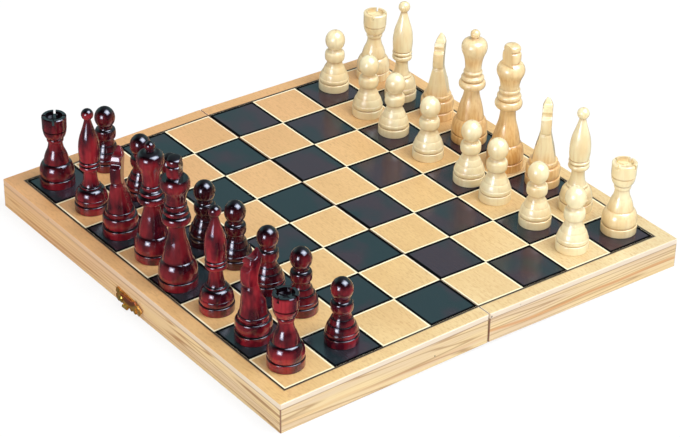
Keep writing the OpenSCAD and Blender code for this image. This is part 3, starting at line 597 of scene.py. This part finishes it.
def lathe_tree():
    tree = bpy.data.node_groups.new("wood_lathe", "GeometryNodeTree")
    tree.is_modifier = True
    sockets = (("Outline", "INPUT", "Geometry"), ("Points", "INPUT", "Int"), ("Segments", "INPUT", "Int"),
               ("Wood", "INPUT", "Material"), ("Turned", "OUTPUT", "Geometry"))
    for name, way, kind in sockets:
        tree.interface.new_socket(name, in_out=way, socket_type="NodeSocket" + kind)
    given = add(tree, "NodeGroupInput").node.outputs
    columns = add(tree, "Math", given["Segments"], 1.0, operation="ADD")
    grid = add(tree, "GeometryNodeMeshGrid", Vertices__X=columns, Vertices__Y=given["Points"], out="Mesh")
    index = add(tree, "GeometryNodeInputIndex")
    full_columns = add(tree, "Math", index, given["Points"], operation="DIVIDE")
    column = add(tree, "Math", full_columns, operation="FLOOR")
    row = add(tree, "Math", index, given["Points"], operation="MODULO")
    position = add(tree, "GeometryNodeInputPosition")
    outline_point = add(tree, "GeometryNodeSampleIndex", Geometry=given["Outline"], Value=position,
                        Index=row, data_type="FLOAT_VECTOR", clamp=True)
    depth = add(tree, "GeometryNodeInputNamedAttribute", Name="groove", data_type="FLOAT")
    groove = add(tree, "GeometryNodeSampleIndex", Geometry=given["Outline"], Value=depth, Index=row,
                 data_type="FLOAT", clamp=True)
    parts = add(tree, "SeparateXYZ", outline_point).node.outputs
    part_of_turn = add(tree, "Math", column, given["Segments"], operation="DIVIDE")
    angle = add(tree, "Math", part_of_turn, 2 * math.pi, operation="MULTIPLY")
    x, y = (add(tree, "Math", parts["X"], add(tree, "Math", angle, operation=rule), operation="MULTIPLY")
            for rule in ("COSINE", "SINE"))
    place = add(tree, "CombineXYZ", x, y, parts["Z"])
    bent = add(tree, "GeometryNodeSetPosition", Geometry=grid, Position=place)
    marked = add(tree, "GeometryNodeStoreNamedAttribute", Geometry=bent, Name="groove", Value=groove,
                 data_type="FLOAT", domain="POINT")
    closed = add(tree, "GeometryNodeMergeByDistance", Geometry=marked, Distance=MERGE_WITHIN)
    real = add(tree, "GeometryNodeRealizeInstances", closed)
    wood = add(tree, "GeometryNodeSetMaterial", Geometry=real, Material=given["Wood"])
    add(tree, "NodeGroupOutput", wood)
    return tree


LATHE = lathe_tree()
LATHE_INPUTS = {item.name: item.identifier for item in LATHE.interface.items_tree
                if item.item_type == "SOCKET" and item.in_out == "INPUT"}
print("lathe inputs:", sorted(LATHE_INPUTS))

# %% [markdown]
# A groove is where the outline lies closer to the axis than the line that a taut thread would take
# over it. So each point's radius is compared with the mean radius 1.5 mm either way along the
# outline. What is missing is its depth, and from 0.55 mm on a groove counts as fully deep.
# The feet are flat and so is the panel under them, so the feet stand a fiftieth of a millimetre
# clear of it: two faces in one plane would fight over which of them shows.

# %% Turning a blank
THREAD_REACH = 1.5
FULL_DEPTH = 0.55
SAMPLES = 1200
FOOT_CLEAR = 0.02
LEAST_STEP = 0.01


def groove_depths(points):
    points = np.array(points)
    run = np.concatenate([[0], np.cumsum(np.linalg.norm(np.diff(points, axis=0), axis=1))])
    even = np.linspace(0, run[-1], SAMPLES)
    radius = np.interp(even, run, points[:, 0])
    width = max(3, int(THREAD_REACH / (even[1] - even[0])))
    padded = np.pad(radius, width, mode="edge")
    mean = np.convolve(padded, np.ones(2 * width + 1) / (2 * width + 1), mode="valid")
    return np.interp(run, even, np.clip((mean - radius) / FULL_DEPTH, 0, 1))


def add_object(name, mesh):
    obj = bpy.data.objects.new(name, mesh)
    bpy.context.scene.collection.objects.link(obj)
    return obj


def modified(obj):
    """The mesh that an object's modifiers make. The object itself is removed."""
    mesh = bpy.data.meshes.new_from_object(obj.evaluated_get(bpy.context.evaluated_depsgraph_get()))
    bpy.data.objects.remove(obj)
    return mesh


def put_values(mesh, name, values):
    """Keeps one number for each point of a mesh."""
    mesh.attributes.new(name, "FLOAT", "POINT").data.foreach_set("value", np.float32(values))


def turn_blank(name, outline, material):
    """Turns an outline in millimetres about the Z axis."""
    points = [(x, max(z, FOOT_CLEAR)) for x, z in outline]
    kept = [points[0]]
    for point in points[1:]:
        if math.dist(point, kept[-1]) > LEAST_STEP:
            kept.append(point)
    mesh = bpy.data.meshes.new("outline_" + name)
    mesh.from_pydata([(x, 0, z) for x, z in kept], [(i, i + 1) for i in range(len(kept) - 1)], [])
    put_values(mesh, "groove", groove_depths(kept))
    obj = add_object("outline_" + name, mesh)
    modifier = obj.modifiers.new("lathe", "NODES")
    modifier.node_group = LATHE
    for socket, value in (("Points", len(kept)), ("Segments", SEGMENTS), ("Wood", material)):
        modifier[LATHE_INPUTS[socket]] = value
    return modified(obj)


def outward(mesh):
    """Turns a closed mesh's faces outward."""
    work = bmesh.new()
    work.from_mesh(mesh)
    bmesh.ops.recalc_face_normals(work, faces=work.faces)
    if work.calc_volume(signed=True) < 0:
        bmesh.ops.reverse_faces(work, faces=work.faces)
    volume = work.calc_volume(signed=True)
    open_edges = sum(1 for e in work.edges if len(e.link_faces) != 2)
    work.to_mesh(mesh)
    work.free()
    return volume, open_edges


trial = turn_blank("pawn", pawn(10.3, 43.2), NATURAL_VARNISH)
print("a pawn has", len(trial.polygons), "faces; volume and open edges:", outward(trial))

# %% [markdown]
# ## Saw cuts
# A rook's crown is sawn twice across, and a king's finial has two flats sawn down to the
# shoulder. Both are done as a maker does them, by cutting the turned blank: a Boolean takes the
# saw's path out of it.

# %% Cutting a blank
def box_mesh(name, low, high):
    """The path of a saw: a closed box between two corners."""
    corners = [(x, y, z) for x in (low[0], high[0]) for y in (low[1], high[1]) for z in (low[2], high[2])]
    mesh = bpy.data.meshes.new(name)
    faces = [(0, 1, 3, 2), (4, 6, 7, 5), (0, 4, 5, 1), (2, 3, 7, 6), (0, 2, 6, 4), (1, 5, 7, 3)]
    mesh.from_pydata(corners, [], faces)
    outward(mesh)
    return mesh


def combine(mesh, cutters, operation="DIFFERENCE"):
    """Cuts, joins or intersects a mesh with others, exactly."""
    obj = add_object("blank", mesh)
    saws = [add_object("saw", cutter) for cutter in cutters]
    for saw in saws:
        modifier = obj.modifiers.new("cut", "BOOLEAN")
        modifier.operation, modifier.solver, modifier.object = operation, "EXACT", saw
    result = modified(obj)
    for saw in saws:
        bpy.data.objects.remove(saw)
    return result


def turned_by(mesh, degrees):
    mesh.transform(Matrix.Rotation(math.radians(degrees), 4, "Z"))
    return mesh


# The slots' width, how far they go below the crown's floor, and how far a saw's path reaches over
# the top, in millimetres.
SLOT_WIDTH, SLOT_BELOW = 1.5, 0.5
SAW_OVER = 5


def rook_crown(mesh, r, h):
    low = (-2 * r, -SLOT_WIDTH / 2, h - CROWN_DEPTH - SLOT_BELOW)
    high = (2 * r, SLOT_WIDTH / 2, h + SAW_OVER)
    return combine(mesh, [turned_by(box_mesh("slot", low, high), turn) for turn in (0, 90)])


def king_flats(mesh, r, h):
    low = (0.3 * r, -r, shares(r, h)(0, 0.826)[1])
    high = (1.5 * r, r, h + SAW_OVER)
    return combine(mesh, [turned_by(box_mesh("flat", low, high), turn) for turn in (0, 180)])


print("a rook's slots are", SLOT_WIDTH, "mm wide and", CROWN_DEPTH + SLOT_BELOW, "mm deep")

# %% [markdown]
# ## The knight's head
# The head is sawn from a turned blank, which already has the groove under the chin: first to its
# side outline, with a hollow back to the neck, then its cheeks are planed to a wedge that ends in
# the ears. The three shapes are crossed with each other, and a voxel remesh with a little
# smoothing then rounds the arrises as sandpaper and lacquer do.

# %% Carving the knight
# The side outline in shares of base radius and height, and the face between its planed cheeks,
# where no height stands for the head's lower end.
SIDE = [(-0.8, 0.2), (-0.8, 0.79), (-0.64, 0.81), (-0.42, 0.83), (-0.39, 0.86), (-0.47, 0.878),
        (-0.36, 0.93), (-0.12, 0.91), (0.1, 0.925), (0.34, 1), (0.44, 0.94), (0.38, 0.85), (0.16, 0.76),
        (0.08, 0.69), (0.12, 0.6), (0.3, 0.48), (0.55, 0.42), (0.8, 0.38), (0.8, 0.2)]
FACE = [(-0.68, None), (0.68, None), (0.31, 0.62), (0.285, 0.905), (0.05, 1), (-0.05, 1), (-0.285, 0.905),
        (-0.31, 0.62)]


def slab(name, outline, depth, facing):
    """A closed plate of the outline, extruded both ways along Y or X."""
    count = len(outline)
    if facing == "y":
        verts = [(x, d, z) for d in (-depth, depth) for x, z in outline]
    else:
        verts = [(d, y, z) for d in (-depth, depth) for y, z in outline]
    faces = [tuple(range(count)), tuple(reversed(range(count, 2 * count)))]
    faces += [(i, (i + 1) % count, (i + 1) % count + count, i + count) for i in range(count)]
    mesh = bpy.data.meshes.new(name)
    mesh.from_pydata(verts, [], faces)
    outward(mesh)
    return mesh


SINK = 0.8  # the head starts this far inside the base, so that no gap shows between them
VOXEL = 0.4  # fine enough to keep the ears


def knight_head(r, h, material):
    base_top = shares(r, h)(0, 0.215)[1] - SINK
    envelope = ([(0, base_top)] + sweep((r * 0.76, base_top), (r * 0.64, h * 0.38), (r * 0.61, h * 0.6))
                + [(r * 0.54, h * 0.615), (r * 0.54, h * 0.63)]
                + sweep((r * 0.65, h * 0.64), (r * 0.74, h * 0.71), (r * 0.66, h * 0.8))
                + [(r * 0.66, h), (0, h)])
    blank = turn_blank("head", envelope, material)
    outward(blank)
    side = slab("side", [(x * r, z * h) for x, z in SIDE], 2 * r, "y")
    face = slab("face", [(y * r, base_top if z is None else z * h) for y, z in FACE], 2 * r, "x")
    obj = add_object("head", combine(blank, [side, face], "INTERSECT"))
    remesh = obj.modifiers.new("remesh", "REMESH")
    remesh.mode, remesh.voxel_size = "VOXEL", VOXEL
    smooth = obj.modifiers.new("sanded", "SMOOTH")
    smooth.factor, smooth.iterations = 0.5, 3
    carved = modified(obj)
    carved.materials.clear()
    carved.materials.append(material)
    return carved


def joined(meshes):
    work = bmesh.new()
    work.verts.layers.float.new("groove")
    for mesh in meshes:
        work.from_mesh(mesh)
    result = bpy.data.meshes.new("joined")
    work.to_mesh(result)
    work.free()
    result.materials.append(meshes[0].materials[0])
    return result


print("the knight's side has", len(SIDE), "points and its face", len(FACE))

# %% [markdown]
# ## Setting the men out
# Each man's place is read from its own CAD node: the half's surface leans a little, so the axis
# is the direction in which the man lifts off, and the middle of its foot is where it stands.
# Only its turn about that axis isn't in the frame for a round piece, so it is listed here.

# %% Where each man stands
TURNS = {"red_rook_near": 69, "red_knight_near": 170, "red_king": 50, "red_knight_far": 138,
         "red_rook_far": 35, "white_rook_near": 15, "white_knight_near": 46, "white_knight_far": 41,
         "white_rook_far": 40}
FOOT_BAND = 4.5  # up to this height in millimetres, a node is no wider than its base


def stand_of(node):
    """The place of a man's own frame, its base radius and its height, in millimetres."""
    side = -1 if node.startswith("red") else 1
    axis = Vector(JOINTS[node]["axis"]).normalized()
    across = Vector((axis.z, 0, -axis.x))
    co = np.empty(len(NODES[node].data.vertices) * 3)
    NODES[node].data.vertices.foreach_get("co", co)
    co = co.reshape(-1, 3) * 1000
    up, out, along = co @ np.array(axis), co @ np.array(across), co[:, 1]
    low = up < up.min() + FOOT_BAND
    middle = [(v[low].min() + v[low].max()) / 2 for v in (out, along)]
    radius = (along[low].max() - along[low].min()) / 2
    place = axis * float(up.min()) + across * float(middle[0]) + Vector((0, float(middle[1]), 0))
    turned = TURNS.get(node, 0)
    angle = turned if side > 0 else 180 - turned
    frame_turn = Matrix((across, Vector((0, 1, 0)), axis)).transposed().to_4x4()
    return (Matrix.Translation(place) @ frame_turn @ Matrix.Rotation(math.radians(angle), 4, "Z"),
            radius, float(up.max() - up.min()))


MEN = [name for name in NODES if SLOT_OF[name] in ("red_lacquer", "natural_varnish")]
measured = {name: stand_of(name)[1:] for name in MEN}
print(len(MEN), "men; a king is", [round(v, 2) for v in measured["red_king"]], "mm in radius and height")

# %% [markdown]
# More numbers go into each mesh for the finishes. How far a point faces up tells where end grain
# shows and where the red men's tops get painted shade. How near it is to the foot tells where the
# browner men have their honey tone, which is partly painted warm light bounced up from the board.
# Each red man also gets its own share of deeper stain.

# %% Making and placing them
SHARP_FROM = math.radians(38)  # edges that turn by more than this stay sharp
HONEY = {"king": 1.0, "queen": 0.9, "knight": 0.75, "rook": 0.2, "bishop": 0.1, "pawn": 0.0}
DEEP_STAIN = {"red_pawn_2": 0.2, "red_pawn_3": 0.35, "red_pawn_4": 0.75, "red_pawn_5": 0.85,
              "red_pawn_6": 0.4, "red_pawn_7": 0.35, "red_pawn_8": 0.45, "red_king": 0.3,
              "red_queen": 0.15, "red_rook_far": 0.3, "red_knight_far": 0.2}
BLANKS = {}


def mark_wood(mesh, kind, h):
    count = len(mesh.vertices)
    co, normals = np.empty(3 * count), np.empty(3 * count, dtype=np.float32)
    mesh.vertices.foreach_get("co", co)
    mesh.vertex_normals.foreach_get("vector", normals)
    up = normals.reshape(-1, 3)[:, 2]
    height = co.reshape(-1, 3)[:, 2] / h
    # The honey grows towards the foot: partly browner wood, partly painted warm light bounced up from the board.
    low = np.clip((0.8 - height) / 0.62, 0, 1)
    # Kings and queens keep some honey all the way up, and more of it as painted shade in a band under the crown.
    if kind in ("king", "queen"):
        low = np.maximum(low, 0.35 + 0.4 * np.exp(-((height - 0.73) / 0.05) ** 2))
    if kind == "knight":
        low = np.clip((0.46 - height) / 0.2, 0.15, 1)
    # A knight's head is carved across the grain, so little of it is end grain, and its tops get less of the
    # painted shade.
    carved = 0.35 if kind == "knight" else 1.0
    # Only faces that look up are marked, so the darkening stays on the tops, where it is partly end grain and
    # partly painted shade.
    up = np.clip(up, 0, 1) * np.where(height > 0.4, carved, 1.0)
    put_values(mesh, "end_grain_and_top_shade", up)
    put_values(mesh, "honey", HONEY[kind] * low)


def blank_of(kind, r, h, material):
    key = (kind, material.name)
    if key not in BLANKS:
        mesh = turn_blank(kind, OUTLINES[kind](r, h), material)
        volume, open_edges = outward(mesh)
        if kind == "rook":
            mesh = rook_crown(mesh, r, h)
        if kind == "king":
            mesh = king_flats(mesh, r, h)
        if kind == "knight":
            mesh = joined([mesh, knight_head(r, h, material)])
        mark_wood(mesh, kind, h)
        print(f"{kind}: {len(mesh.polygons)} faces, {volume / 1000:.2f} cm3, {open_edges} open edges")
        BLANKS[key] = mesh
    return BLANKS[key]


def place_man(node):
    place, _, _ = stand_of(node)
    kind = node.split("_")[1]
    slot = SLOT_OF[node]
    material = FINISHES[slot]
    alike = [measured[name] for name in MEN if name.split("_")[1] == kind]
    radius, height = (round(max(sizes), 2) for sizes in zip(*alike))
    mesh = blank_of(kind, radius, height, material).copy()
    mesh.name = node + "_turned"
    mesh.transform(Matrix.Scale(MM, 4) @ place)
    mesh.materials.clear()
    mesh.materials.append(material)
    mesh.polygons.foreach_set("use_smooth", [True] * len(mesh.polygons))
    mesh.set_sharp_from_angle(angle=SHARP_FROM)
    if slot == "red_lacquer":
        put_values(mesh, "deep_stain", np.full(len(mesh.vertices), DEEP_STAIN.get(node, 0.0)))
    man = add_object(node + "_turned", mesh)
    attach(man, node)
    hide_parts(node)
    return man


men = [place_man(node) for node in MEN]
print("placed", len(men), "men with", sum(len(m.data.polygons) for m in men), "faces")

# %% [markdown]
# ## Studio
# The board lies on a white sweep. A softbox high on the right lights it and draws the highlight
# on every ball, and a small lamp low on the left adds a second spark. Each has a wide, faint
# diffuser round it that only gloss sees, because lacquer shows the cloth round a lamp as a sheen
# that would flatten the wood if it lit it too. The sky is white to the camera. For reflections
# the studio has a pale blue-green wall at the back, which the level squares mirror, and a dark
# ceiling and front, so gloss shows dark tops with sharp sparks. The paper is darker to
# reflections too, and keeps the red of the lacquer pure.

# %% Lamps
def lamp(name, toward, distance, size, power, tint):
    """An area lamp in a direction given by the camera's right, up and back."""
    direction = (toward[0] * RIGHT - toward[1] * DOWN - toward[2] * FORWARD).normalized()
    data = bpy.data.lights.new(name, "AREA")
    data.shape = "SQUARE"
    data.size = size
    data.energy = power
    data.color = colour(tint)[:3]
    obj = add_object(name, data)
    obj.location = direction * distance
    obj.rotation_euler = (-direction).to_track_quat("-Z", "Y").to_euler()
    return obj


HIGH_RIGHT, LOW_LEFT = (0.45, 0.63, 0.62), (-0.55, -0.23, 0.80)
lamp("softbox_high_right", HIGH_RIGHT, 1.9, 1.05, 30, "#F2F7FF")
lamp("spark_low_left", LOW_LEFT, 1.9, 0.5, 9, "#FFFFFF")
lamp("softbox_sheen", HIGH_RIGHT, 1.92, 1.8, 78, "#D6E0FF").visible_diffuse = False
lamp("spark_sheen", LOW_LEFT, 1.92, 1.0, 22, "#D6E0FF").visible_diffuse = False

# %% The sky and the sweep
BACK_WALL = (0.61, 0.79, 0)  # the level direction of the studio's pale wall
HALF_FLOOR = 6.0  # metres


def studio_sky():
    world = bpy.data.worlds.new("white_studio")
    world.use_nodes = True
    tree = world.node_tree
    tree.nodes.clear()
    rays = add(tree, "LightPath").node.outputs
    sky = add(tree, "TexCoord", out="Generated")
    up = add(tree, "SeparateXYZ", sky, out="Z")
    toward = add(tree, "VectorMath", sky, BACK_WALL, operation="DOT_PRODUCT")
    front = add(tree, "ValToRGB", up,
                stops=((0.0, "#8A8A8A"), (0.2, "#3A3E46"), (0.45, "#101216"), (0.8, "#060708")))
    back = add(tree, "ValToRGB", up,
               stops=((0.0, "#A8B4B2"), (0.3, "#92BCBC"), (0.7, "#96C2CA"), (0.9, "#101214")))
    mirrored = add(tree, "Mix", add(tree, "MapRange", toward, 0.0, 0.5), front, back, **RGBA)
    lit = add(tree, "Mix", rays["Is Glossy Ray"], "#D2D2D2", mirrored, **RGBA)
    seen = add(tree, "Mix", rays["Is Camera Ray"], lit, "#FFFFFF", **RGBA)
    add(tree, "OutputWorld", add(tree, "Background", seen, 1.0))
    return world


def sweep_material():
    material, tree, shader = new_material("white_paper_sweep")
    fibre = add(tree, "TexNoise", stretched(tree, (6, 6, 6)), 1, 2)
    paper = add(tree, "ValToRGB", fibre, stops=((0.3, "#F7F7F6"), (0.7, "#FBFBFA")))
    fill(shader, Base__Color=paper, Roughness=0.8, Specular__IOR__Level=0.1)
    rays = add(tree, "LightPath").node.outputs
    white = add(tree, "Emission", "#FFFFFF", 1.0)
    # To the camera the paper is mostly plain white, and the rest of it shows soft shadows.
    share = add(tree, "Math", rays["Is Camera Ray"], 0.85, operation="MULTIPLY")
    both = add(tree, "MixShader", share, shader.outputs[0], white)
    dim = add(tree, "Emission", "#6E6E6E", 1.0)
    fill(tree.nodes["Material Output"], add(tree, "MixShader", rays["Is Glossy Ray"], both, dim))
    return material


bpy.context.scene.world = studio_sky()
floor_mesh = bpy.data.meshes.new("sweep")
corners = [(x * HALF_FLOOR, y * HALF_FLOOR, 0) for x, y in ((-1, -1), (1, -1), (1, 1), (-1, 1))]
floor_mesh.from_pydata(corners, [], [(0, 1, 2, 3)])
floor_mesh.materials.append(sweep_material())
floor = add_object("sweep", floor_mesh)
bpy.context.scene.view_settings.view_transform = "Standard"
print("studio ready")
